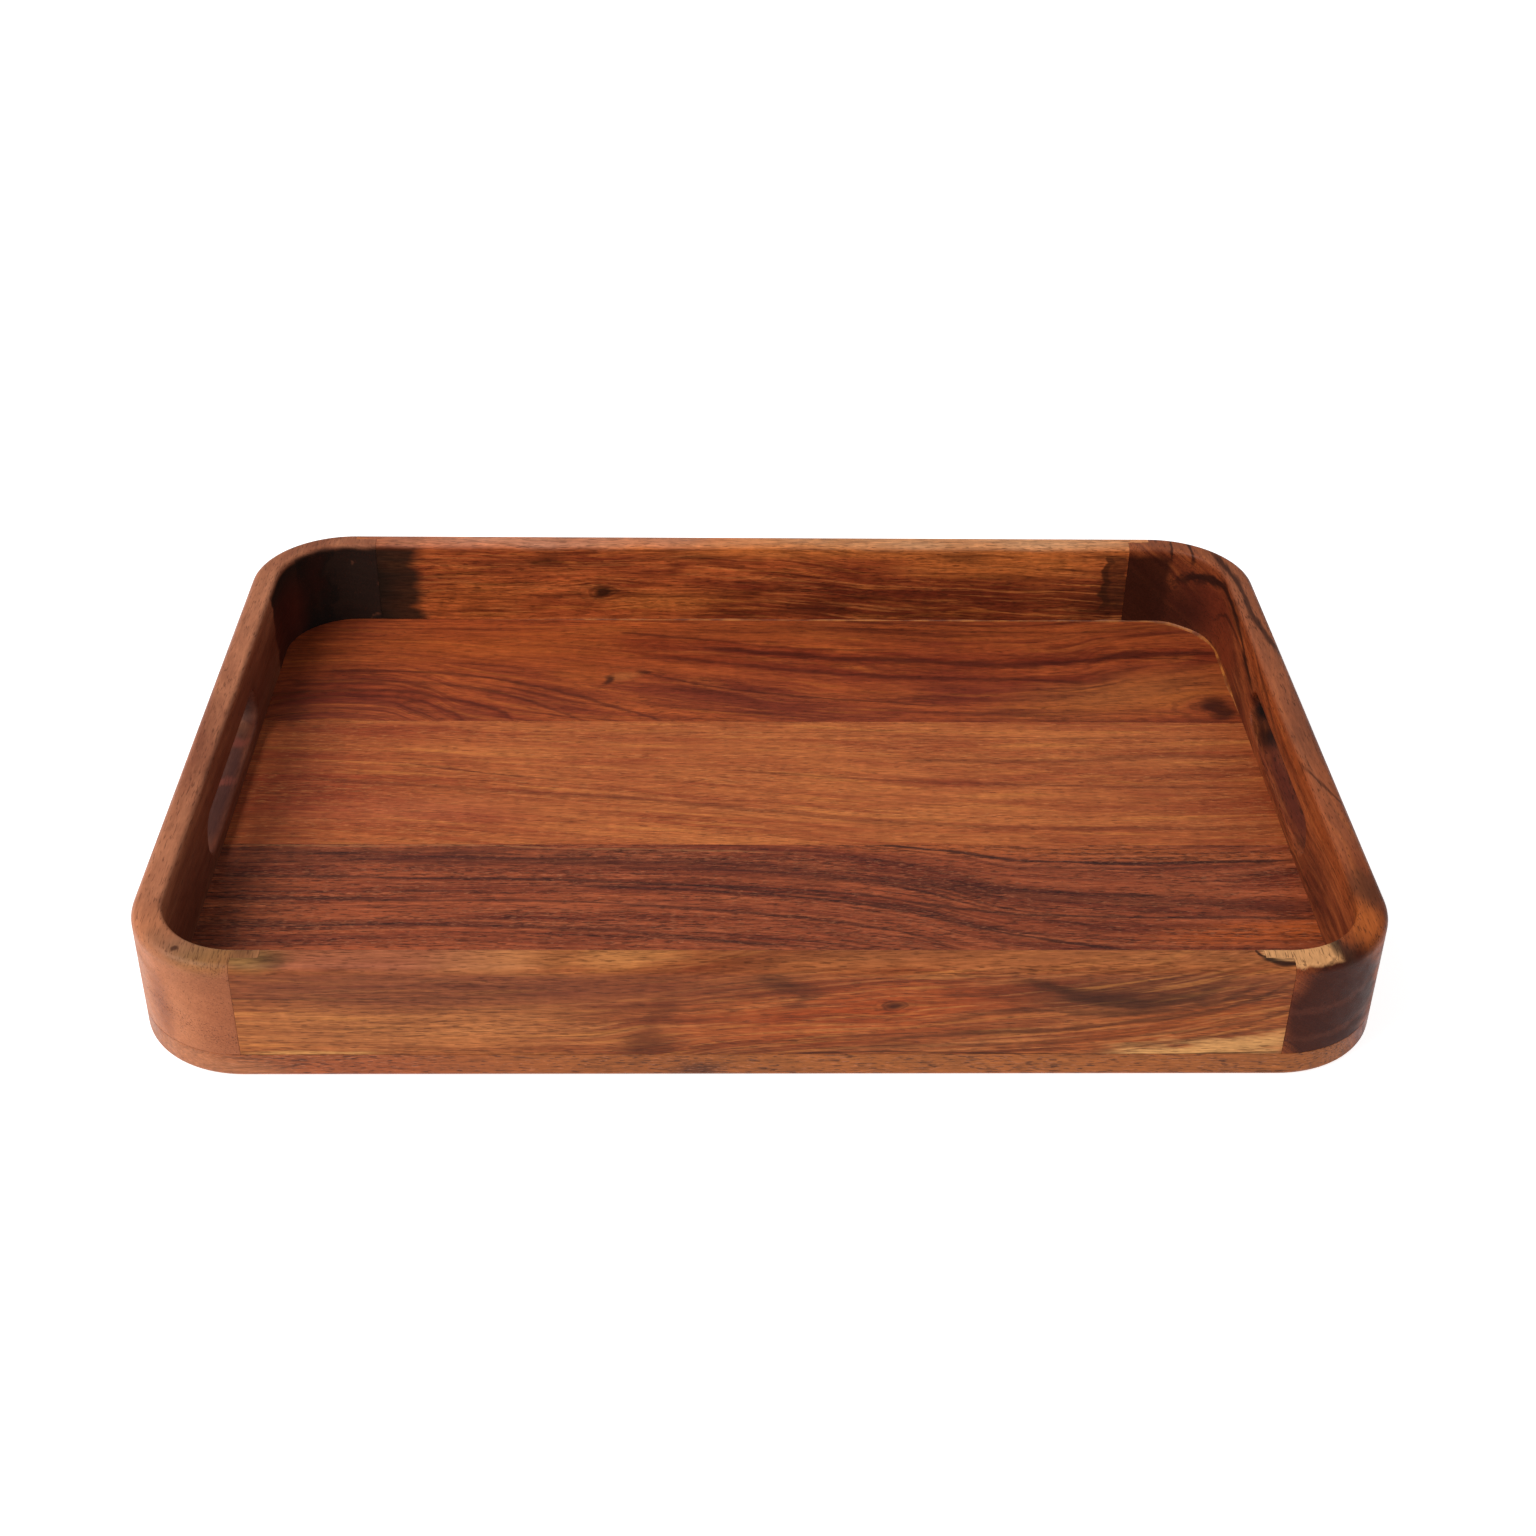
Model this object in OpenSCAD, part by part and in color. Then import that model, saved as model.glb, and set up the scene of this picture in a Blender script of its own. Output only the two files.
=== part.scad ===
// Serving tray in oiled hardwood: three edge-glued base planks carry a rim of two rails and two
// C-shaped end pieces, half-lapped beside the corners, with a hand slot through each end.
// Origin at the middle of the underside, +X along the tray's length, +Y to the rear, +Z up.

/* [Tray] */
// Overall length, end to end
tray_l = 420; // [360:5:480]
// Overall width, front to rear
tray_w = 298; // [280:2:340]
// Overall height
tray_h = 46; // [44:1:60]
// Radius of the outside corners, seen from above
corner_r = 38.5; // [30:0.5:50]

/* [Base] */
// Thickness of the base planks, which is also the height of the tray's floor
base_t = 9.5; // [8:0.5:10.5]
// Width of the rear plank, from the tray's rear edge to its glue line
rear_plank_w = 93.5; // [70:0.5:100]
// Width of the middle plank, from glue line to glue line
middle_plank_w = 86; // [60:0.5:100]
// Rounding of the base's lower outer edge
base_round = 2; // [1:0.5:3]

/* [Rim] */
// Thickness of the rails and of the end pieces
wall_t = 10.5; // [9:0.5:14]
// Rounding of the rim's outer top edge
outer_round = 3.5; // [2:0.5:4]
// Rounding of the rim's inner top edge
inner_round = 2; // [1:0.5:3]
// Length of each half-lap between a rail and an end piece
lap_l = 9; // [6:1:14]

/* [Hand slots] */
// Length of each slot, inside its eased edges
slot_l = 98; // [80:1:130]
// Height of each slot, inside its eased edges
slot_h = 16; // [12:1:17]
// Easing round the mouths of each slot
slot_round = 1.5; // [0.5:0.5:2]

/* [Hidden] */
$fn = 96;
over = 1;                                 // how far a cutter runs past the faces it cuts

corner_x = tray_l / 2 - corner_r;         // centres of the corner arcs
corner_y = tray_w / 2 - corner_r;
rear_seam_y = tray_w / 2 - rear_plank_w;  // glue lines between the base planks
front_seam_y = rear_seam_y - middle_plank_w;
slot_z = tray_h / 2;                      // the slots lie at half the tray's height

// What a rounding of radius r takes off an upper right corner; the arc's centre is the origin
module rounding_waste(r) {
    difference() {
        square(r + over);
        circle(r);
    }
}

// ---- Base ----

// Cross-section of the base's border: x runs outwards, y is the height
module base_section() {
    difference() {
        square([corner_r, base_t]);
        translate([corner_r - base_round, base_round]) mirror([0, 1]) rounding_waste(base_round);
    }
}

// One side of the base with its rounded lower edge, run along Y and centred, facing +X
module base_side(run) {
    translate([0, run / 2, 0]) rotate([90, 0, 0]) linear_extrude(run) base_section();
}

// The whole base as one slab, before it is divided into planks
module base_slab() {
    translate([-corner_x, -corner_y, 0]) cube([2 * corner_x, 2 * corner_y, base_t]);
    for (turn = [0, 180]) rotate([0, 0, turn]) {
        translate([corner_x, 0, 0]) base_side(2 * corner_y);
        rotate([0, 0, 90]) translate([corner_y, 0, 0]) base_side(2 * corner_x);
        translate([corner_x, corner_y, 0]) rotate_extrude(angle = 90) base_section();
        translate([-corner_x, corner_y, 0]) rotate([0, 0, 90]) rotate_extrude(angle = 90) base_section();
    }
}

// The strip of the slab from one edge or glue line to the next
module plank(from_y, to_y) {
    intersection() {
        base_slab();
        translate([-tray_l / 2 - over, from_y, -over])
            cube([tray_l + 2 * over, to_y - from_y, base_t + 2 * over]);
    }
}

module base_plank_rear() {
    color("#9a5233") plank(rear_seam_y, tray_w / 2 + over);
}

module base_plank_middle() {
    color("#a85c34") plank(front_seam_y, rear_seam_y);
}

module base_plank_front() {
    color("#7c3626") plank(-tray_w / 2 - over, front_seam_y);
}

// ---- Rim ----

// Cross-section of the rim's wall: x runs outwards from the inner face, y is the height
module wall_section() {
    difference() {
        translate([0, base_t]) square([wall_t, tray_h - base_t]);
        translate([wall_t - outer_round, tray_h - outer_round]) rounding_waste(outer_round);
        translate([inner_round, tray_h - inner_round]) mirror([1, 0]) rounding_waste(inner_round);
    }
}

// The half of the wall's section that a lap leaves standing, outside or inside its step
module half_section(side) {
    intersection() {
        wall_section();
        translate([side == "outer" ? wall_t / 2 : -over, 0]) square([wall_t / 2 + over, tray_h + over]);
    }
}

// A wall run along Y and centred, with its inner face on x = 0 and its outer face towards +X
module wall_run(run) {
    translate([0, run / 2, 0]) rotate([90, 0, 0]) linear_extrude(run) children();
}

// A rail facing +X: full length outside the laps' step, and a lap shorter at each end inside it
module rail() {
    translate([tray_w / 2 - wall_t, 0, 0]) {
        wall_run(2 * corner_x) half_section("outer");
        wall_run(2 * corner_x - 2 * lap_l) half_section("inner");
    }
}

module front_rail() {
    color("#a8643c") rotate([0, 0, -90]) rail();
}

module rear_rail() {
    color("#96502e") rotate([0, 0, 90]) rail();
}

// One corner of an end piece, about the origin, and the lip that laps behind the rail
module end_corner() {
    rotate_extrude(angle = 90) translate([corner_r - wall_t, 0]) wall_section();
    translate([-lap_l / 2, corner_r - wall_t, 0]) rotate([0, 0, 90]) wall_run(lap_l) half_section("inner");
}

// Half of the hand slot's section: x is the distance from its middle line, y runs through the wall.
// The wall's eased edge, a strip with a round at each face, is cut from it.
module slot_section() {
    difference() {
        translate([0, -over]) square([slot_h / 2 + slot_round, wall_t + 2 * over]);
        translate([slot_h / 2, slot_round]) square([2 * slot_round, wall_t - 2 * slot_round]);
        for (depth = [slot_round, wall_t - slot_round])
            translate([slot_h / 2 + slot_round, depth]) circle(slot_round);
    }
}

// Cutter for a hand slot through the wall at x = 0 to wall_t, centred on the X axis
module hand_slot() {
    straight = slot_l - slot_h;
    for (turn = [0, 180]) rotate([turn, 0, 0]) {
        translate([0, straight / 2, 0]) rotate([0, 90, 0]) rotate_extrude() slot_section();
        translate([0, straight / 2, 0]) rotate([90, 0, 0]) linear_extrude(straight)
            rotate([0, 0, 90]) mirror([0, 1]) slot_section();
    }
}

// An end piece facing +X: a straight wall with its hand slot, two corners and two lips
module end_piece() {
    difference() {
        translate([tray_l / 2 - wall_t, 0, 0]) wall_run(2 * corner_y) wall_section();
        translate([tray_l / 2 - wall_t, 0, slot_z]) hand_slot();
    }
    for (side = [0, 1]) mirror([0, side, 0]) translate([corner_x, corner_y, 0]) end_corner();
}

module left_end() {
    color("#9c5a3f") mirror([1, 0, 0]) end_piece();
}

module right_end() {
    color("#8a4c31") end_piece();
}

base_plank_rear();
base_plank_middle();
base_plank_front();
front_rail();
rear_rail();
left_end();
right_end();
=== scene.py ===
"""The serving tray's looks: seven boards of oiled hardwood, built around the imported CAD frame."""
import math

import bmesh
import bpy
from mathutils import Matrix, Vector


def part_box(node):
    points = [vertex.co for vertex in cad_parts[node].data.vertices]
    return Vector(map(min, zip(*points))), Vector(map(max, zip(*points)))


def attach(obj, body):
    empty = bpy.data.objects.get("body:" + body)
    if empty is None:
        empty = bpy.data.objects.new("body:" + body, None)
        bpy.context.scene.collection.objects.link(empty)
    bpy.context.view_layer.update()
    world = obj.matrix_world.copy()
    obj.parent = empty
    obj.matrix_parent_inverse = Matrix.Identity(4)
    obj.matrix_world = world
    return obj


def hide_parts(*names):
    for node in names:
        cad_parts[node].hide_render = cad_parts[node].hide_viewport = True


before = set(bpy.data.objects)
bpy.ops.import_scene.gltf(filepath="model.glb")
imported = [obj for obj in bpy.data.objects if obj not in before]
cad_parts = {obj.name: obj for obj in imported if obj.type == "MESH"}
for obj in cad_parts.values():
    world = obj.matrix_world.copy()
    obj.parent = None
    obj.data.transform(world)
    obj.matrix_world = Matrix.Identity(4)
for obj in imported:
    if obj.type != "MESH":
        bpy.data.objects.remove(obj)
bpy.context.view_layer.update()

MM = 0.001
RIGHT_THROUGH = (0, 9999)                       # depth of a patch that goes right through its board, in mm

# ---- Sizes, worked out from the frame, in metres ----

rail_low, rail_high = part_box("front_rail")
end_low, end_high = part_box("right_end")
TRAY_X = end_high.x                             # half of the tray's length
TRAY_Y = end_high.y                             # half of its width
TOP = end_high.z                                # height of the rim
FLOOR = rail_low.z                              # top of the base planks
WALL = rail_high.y - rail_low.y                 # thickness of the rails and ends
CORNER_X = rail_high.x                          # centres of the corner arcs
CORNER_R = TRAY_X - CORNER_X
CORNER_Y = TRAY_Y - CORNER_R
LAP_X = end_low.x                               # tip of an end piece's inner lip
REAR_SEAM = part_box("base_plank_rear")[0].y      # glue lines between the base planks
FRONT_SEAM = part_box("base_plank_front")[1].y

# What a box can't say, as the CAD model has it
OUTER_ROUND = 3.5 * MM
INNER_ROUND = 2 * MM
BASE_ROUND = 2 * MM
SLOT_LENGTH = 98 * MM
SLOT_HEIGHT = 16 * MM
SLOT_ROUND = 1.5 * MM
SLOT_Z = TOP / 2
EDGE_EASE = 0.22 * MM                           # sanding of every sharp edge

# How finely the curves are cut up
RAIL_STEPS = 24                                 # lengths of a rail
CORNER_STEPS = 24                               # steps round a corner of the tray
SLOT_ARC_STEPS = 8                              # steps round a quarter of a slot's end
SLOT_STEPS = 10                                 # lengths of its straight part
STRAIGHT_GLUE = 97                              # points of the glue along the rear wall
GLUE_LEFT = 40                                  # how many of them are left of the tray's middle
GLUE_TURN = 16                                  # points round the corner, and again along the end wall

# ---- Meshes ----


def arc(centre, radius, start, end, steps):
    """Points along an arc in a plane, angles in degrees, both ends included."""
    turns = [math.radians(start + (end - start) * i / steps) for i in range(steps + 1)]
    return [(centre[0] + radius * math.cos(t), centre[1] + radius * math.sin(t)) for t in turns]


# The rim's cross-section: distance outwards from the inner face, and height. It is two halves, inside
# and outside the step of the half-laps.
MIDDLE = WALL / 2
INNER_HALF = (
    [(MIDDLE, FLOOR), (0, FLOOR)]
    + arc((INNER_ROUND, TOP - INNER_ROUND), INNER_ROUND, 180, 90, 6)
    + [(MIDDLE, TOP)]
)
OUTER_HALF = (
    [(MIDDLE, TOP)]
    + arc((WALL - OUTER_ROUND, TOP - OUTER_ROUND), OUTER_ROUND, 90, 0, 8)
    + [(WALL, FLOOR), (MIDDLE, FLOOR)]
)
SECTION = INNER_HALF + OUTER_HALF[1:-1]
INNER_KEYS = list(range(len(INNER_HALF)))
OUTER_KEYS = list(range(len(INNER_HALF) - 1, len(SECTION))) + [0]
INNER_FLAT = 1                                  # the section's edge that is the wall's inner face
OUTER_FLAT = len(SECTION) - 2                   # and the one that is its outer face


def finish_piece(name, bm, node):
    """Turns a closed bmesh into the piece that stands for a CAD node, with sanded edges."""
    bmesh.ops.recalc_face_normals(bm, faces=bm.faces[:])
    mesh = bpy.data.meshes.new(name)
    bm.to_mesh(mesh)
    bm.free()
    mesh.polygons.foreach_set("use_smooth", [True] * len(mesh.polygons))
    piece = bpy.data.objects.new(name, mesh)
    bpy.context.scene.collection.objects.link(piece)
    ease = piece.modifiers.new("sanded_edges", "BEVEL")
    ease.width = EDGE_EASE
    ease.segments = 2
    ease.limit_method = "ANGLE"
    ease.angle_limit = math.radians(50)
    even = piece.modifiers.new("even_shading", "WEIGHTED_NORMAL")
    even.weight = 100
    even.keep_sharp = True
    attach(piece, "root")
    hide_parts(node)
    return piece


def swept_wall(places, kept, slot_span=None):
    """A wall of the rim as a bmesh. Each place turns a point of the section into a point in space; the
    first and last places hold only the kept half, which is the lap. Between the places of slot_span
    the two flat faces are left open for a hand slot."""
    bm = bmesh.new()
    last = len(places) - 1
    other = INNER_KEYS if kept is OUTER_KEYS else OUTER_KEYS
    rings = []
    for i, place in enumerate(places):
        keys = kept if i in (0, last) else range(len(SECTION))
        rings.append({k: bm.verts.new(place(*SECTION[k])) for k in keys})
    for i in range(last):
        a, b = rings[i], rings[i + 1]
        loop = kept if i in (0, last - 1) else list(range(len(SECTION)))
        for k, m in zip(loop, loop[1:] + loop[:1]):
            in_slot = slot_span and slot_span[0] <= i < slot_span[1]
            if in_slot and k in (INNER_FLAT, OUTER_FLAT):
                continue
            bm.faces.new((a[k], a[m], b[m], b[k]))
    for i in (0, last):
        bm.faces.new([rings[i][k] for k in kept])
    for i in (1, last - 1):
        bm.faces.new([rings[i][k] for k in other])
    return bm, rings


def rail(name, side):
    """A straight rail; side is -1 at the front and 1 at the rear."""
    inner_y = side * (TRAY_Y - WALL)
    spread = [LAP_X * (2 * i / RAIL_STEPS - 1) for i in range(RAIL_STEPS + 1)]
    xs = [-CORNER_X] + spread + [CORNER_X]
    places = [lambda d, z, x=x: (x, inner_y + side * d, z) for x in xs]
    bm, _ = swept_wall(places, OUTER_KEYS)
    return finish_piece(name, bm, name)


def slot_stations():
    """Places along an end wall for its hand slot: (y, y of the slot's arc centre, angle of the arc)."""
    half = (SLOT_LENGTH - SLOT_HEIGHT) / 2
    reach = SLOT_LENGTH / 2 + SLOT_HEIGHT
    right = [(half + (reach - half) * j / SLOT_ARC_STEPS, half, 90 - 90 * j / SLOT_ARC_STEPS)
             for j in range(SLOT_ARC_STEPS + 1)]
    straight = [(half * (2 * j / SLOT_STEPS - 1),) * 2 + (90,) for j in range(1, SLOT_STEPS)]
    left = [(-y, -centre, 180 - angle) for y, centre, angle in reversed(right)]
    return left + straight + right


def slot_profile():
    """The slot's wall from the inner face to the outer one: (distance outwards, growth of the outline)."""
    inner = arc((SLOT_ROUND, SLOT_ROUND), SLOT_ROUND, 180, 270, 5)
    outer = arc((WALL - SLOT_ROUND, SLOT_ROUND), SLOT_ROUND, 270, 360, 5)
    return inner + outer


def add_slot(bm, rings, span, stations, place):
    """Closes the wall's two open flats round a hand slot, and adds the slot's own wall."""
    profile = slot_profile()
    tubes = {}
    for i, (_, centre, angle) in enumerate(stations):
        for up in (1, -1):
            if up == -1 and i in (0, len(stations) - 1):
                tubes[i, up] = tubes[i, 1]
                continue
            turn = math.radians(angle)
            tubes[i, up] = [
                bm.verts.new(place(d, centre + (SLOT_HEIGHT / 2 + grow) * math.cos(turn),
                                   SLOT_Z + up * (SLOT_HEIGHT / 2 + grow) * math.sin(turn)))
                for d, grow in profile
            ]
    after_inner, after_outer = INNER_FLAT + 1, (OUTER_FLAT + 1) % len(SECTION)
    flats = [(0, {1: after_inner, -1: INNER_FLAT}), (-1, {1: OUTER_FLAT, -1: after_outer})]
    for i in range(len(stations) - 1):
        for up in (1, -1):
            near, far = tubes[i, up], tubes[i + 1, up]
            for end, keys in flats:
                a, b = rings[span[0] + i][keys[up]], rings[span[0] + i + 1][keys[up]]
                bm.faces.new((a, b, far[end], near[end]))
            for n in range(len(profile) - 1):
                bm.faces.new((near[n], far[n], far[n + 1], near[n + 1]))
    for i in (0, len(stations) - 1):
        for end, keys in flats:
            ring = rings[span[0] + i]
            bm.faces.new((ring[keys[1]], ring[keys[-1]], tubes[i, 1][end]))


def end_piece(name, side):
    """A C-shaped end with its corners, lips and hand slot; side is -1 at the left, 1 at the right."""
    inner_r = CORNER_R - WALL

    def straight(y):
        return lambda d, z: (side * (TRAY_X - WALL + d), y, z)

    def lip(x, along):
        return lambda d, z: (side * x, along * (TRAY_Y - WALL + d), z)

    def corner(turn, along):
        c, s = math.cos(turn), math.sin(turn)
        return lambda d, z: (side * (CORNER_X + (inner_r + d) * c),
                             along * (CORNER_Y + (inner_r + d) * s), z)

    turns = [math.pi / 2 * i / CORNER_STEPS for i in range(CORNER_STEPS + 1)]
    stations = slot_stations()
    ys = [y for y, _, _ in stations]
    gap = [ys[-1] + (CORNER_Y - ys[-1]) * i / 5 for i in range(1, 5)]
    front = [lip(LAP_X, -1)] + [corner(t, -1) for t in reversed(turns)]
    front += [straight(-y) for y in reversed(gap)]
    middle = [straight(y) for y in ys]
    rear = [straight(y) for y in gap] + [corner(t, 1) for t in turns] + [lip(LAP_X, 1)]
    span = (len(front), len(front) + len(ys) - 1)
    bm, rings = swept_wall(front + middle + rear, INNER_KEYS, span)
    add_slot(bm, rings, span, stations, lambda d, y, z: (side * (TRAY_X - WALL + d), y, z))
    return finish_piece(name, bm, name)


def outline(inset):
    """The tray's outline from above, inset, anticlockwise."""
    corners = [(1, 1, 0), (-1, 1, 90), (-1, -1, 180), (1, -1, 270)]
    return [point for sx, sy, start in corners
            for point in arc((sx * CORNER_X, sy * CORNER_Y), CORNER_R - inset, start, start + 90,
                             CORNER_STEPS)]


def plank(name):
    """A base plank: the whole rounded slab, less what lies past each glue line."""
    front_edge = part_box(name)[0].y
    levels = arc((BASE_ROUND, BASE_ROUND), BASE_ROUND, 270, 180, 6) + [(0, FLOOR)]
    bm = bmesh.new()
    rings = [[bm.verts.new((x, y, z)) for x, y in outline(inset)] for inset, z in levels]
    count = len(rings[0])
    for lower, upper in zip(rings, rings[1:]):
        for i in range(count):
            j = (i + 1) % count
            bm.faces.new((lower[i], lower[j], upper[j], upper[i]))
    bm.faces.new(rings[0])
    bm.faces.new(rings[-1])
    for seam in (REAR_SEAM, FRONT_SEAM):
        rubbish = -1 if front_edge > seam - MM else 1
        geometry = bm.verts[:] + bm.edges[:] + bm.faces[:]
        cut = bmesh.ops.bisect_plane(bm, geom=geometry, plane_co=(0, seam, 0),
                                     plane_no=(0, rubbish, 0), clear_outer=True)
        edges = [e for e in cut["geom_cut"] if isinstance(e, bmesh.types.BMEdge)]
        bmesh.ops.contextual_create(bm, geom=edges)
    return finish_piece(name, bm, name)


def glue_spine():
    """The line the dried glue follows: (x, y, and the direction into the wall)."""
    step = 3 * MM
    inner_x, inner_y, inner_r = TRAY_X - WALL, TRAY_Y - WALL, CORNER_R - WALL
    rear = [(step * (i - GLUE_LEFT), inner_y, 0, 1) for i in range(STRAIGHT_GLUE)]
    turns = [math.pi / 2 * i / GLUE_TURN for i in range(1, GLUE_TURN + 1)]
    corner = [(CORNER_X + inner_r * math.sin(t), CORNER_Y + inner_r * math.cos(t), math.sin(t), math.cos(t))
              for t in turns]
    side = [(inner_x, CORNER_Y - step * i, 1, 0) for i in range(1, GLUE_TURN + 1)]
    return rear + corner + side


def glue_bead(name):
    """A thin uneven cove of dried glue at the foot of the rear wall and round the rear right corner,
    thicker in the corner. It is sunk a little into the wood behind and below it."""
    spine = glue_spine()
    sink = 0.15 * MM
    bm = bmesh.new()
    rings = []
    for i, (x, y, out_x, out_y) in enumerate(spine):
        taper = math.sin(math.pi * min(1, (i + 1) / 30, (len(spine) - i) / 12) / 2)
        width = taper * (0.42 + 0.1 * math.sin(0.9 * i) + 0.12 * math.sin(0.37 * i + 1)) * MM
        if i > STRAIGHT_GLUE - 7:
            width *= 1.9
        shape = [(-sink, -sink), (width, -sink), (width, 0), (0.35 * width, 0.3 * width), (0, width),
                 (-sink, width)]
        rings.append([bm.verts.new((x - d * out_x, y - d * out_y, FLOOR + z)) for d, z in shape])
    for a, b in zip(rings, rings[1:]):
        for k in range(6):
            m = (k + 1) % 6
            bm.faces.new((a[k], a[m], b[m], b[k]))
    bm.faces.new(rings[0])
    bm.faces.new(rings[-1])
    bmesh.ops.recalc_face_normals(bm, faces=bm.faces[:])
    mesh = bpy.data.meshes.new(name)
    bm.to_mesh(mesh)
    bm.free()
    piece = bpy.data.objects.new(name, mesh)
    bpy.context.scene.collection.objects.link(piece)
    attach(piece, "root")
    return piece


# ---- Wood ----


def paint(*levels):
    """A display colour, 0 to 255 a channel, as the linear colour that shaders work in."""
    parts = [level / 255 for level in levels]
    return [p / 12.92 if p <= 0.04045 else ((p + 0.055) / 1.055) ** 2.4 for p in parts] + [1]


class Graph:
    """A material's nodes, written as calls. Every call returns the new node's output."""

    def __init__(self, tree):
        self.tree = tree

    def add(self, kind, inputs=(), **settings):
        node = self.tree.nodes.new(kind)
        for name, value in settings.items():
            setattr(node, name, value)
        for key, value in dict(inputs).items():
            if isinstance(value, bpy.types.NodeSocket):
                self.tree.links.new(value, node.inputs[key])
            else:
                node.inputs[key].default_value = value
        return node

    def math(self, operation, *values):
        return self.add("ShaderNodeMath", enumerate(values), operation=operation).outputs[0]

    def vector(self, operation, *values, scale=None):
        node = self.add("ShaderNodeVectorMath", enumerate(values), operation=operation)
        if scale is not None:
            node.inputs["Scale"].default_value = scale
        return node.outputs["Value" if operation in ("LENGTH", "DOT_PRODUCT") else "Vector"]

    def split(self, vector):
        return self.add("ShaderNodeSeparateXYZ", {"Vector": vector}).outputs

    def join(self, x, y, z):
        return self.add("ShaderNodeCombineXYZ", {"X": x, "Y": y, "Z": z}).outputs[0]

    def ease(self, value, low, high, start=0.0, end=1.0):
        """Start below low, end above high, and a smooth step between."""
        numbers = {"Value": value, "From Min": low, "From Max": high, "To Min": start, "To Max": end}
        return self.add("ShaderNodeMapRange", numbers, interpolation_type="SMOOTHSTEP").outputs[0]

    def noise(self, vector, sizes, detail=2.0, roughness=0.5, colour=False):
        """Noise whose blotches have the given sizes, in the vector's units."""
        scaled = self.vector("DIVIDE", vector, sizes)
        node = self.add("ShaderNodeTexNoise", {"Vector": scaled, "Scale": 1.0, "Detail": detail,
                                               "Roughness": roughness})
        return node.outputs["Color" if colour else "Fac"]

    def mix(self, amount, first, second, blend="MIX"):
        node = self.add("ShaderNodeMix", data_type="RGBA", blend_type=blend)
        colour_inputs = [s for s in node.inputs if s.type == "RGBA"]
        for socket, value in zip((node.inputs[0], *colour_inputs), (amount, first, second)):
            if isinstance(value, bpy.types.NodeSocket):
                self.tree.links.new(value, socket)
            else:
                socket.default_value = value
        return next(s for s in node.outputs if s.type == "RGBA")

    def curve(self, value, points):
        """A smooth curve through the points, flat beyond them."""
        lows = [min(p[i] for p in points) for i in (0, 1)]
        spans = [max(max(p[i] for p in points) - lows[i], 1e-3) for i in (0, 1)]
        reach = {"Value": value, "From Min": lows[0], "From Max": lows[0] + spans[0]}
        along = self.add("ShaderNodeMapRange", reach).outputs[0]
        node = self.add("ShaderNodeFloatCurve", {"Value": along})
        spline = node.mapping.curves[0]
        for i, point in enumerate(points):
            spot = [(point[k] - lows[k]) / spans[k] for k in (0, 1)]
            if i in (0, len(points) - 1):
                spline.points[0 if i == 0 else -1].location = spot
            else:
                spline.points.new(*spot)
        node.mapping.update()
        return self.math("MULTIPLY_ADD", node.outputs[0], spans[1], lows[1])


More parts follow.
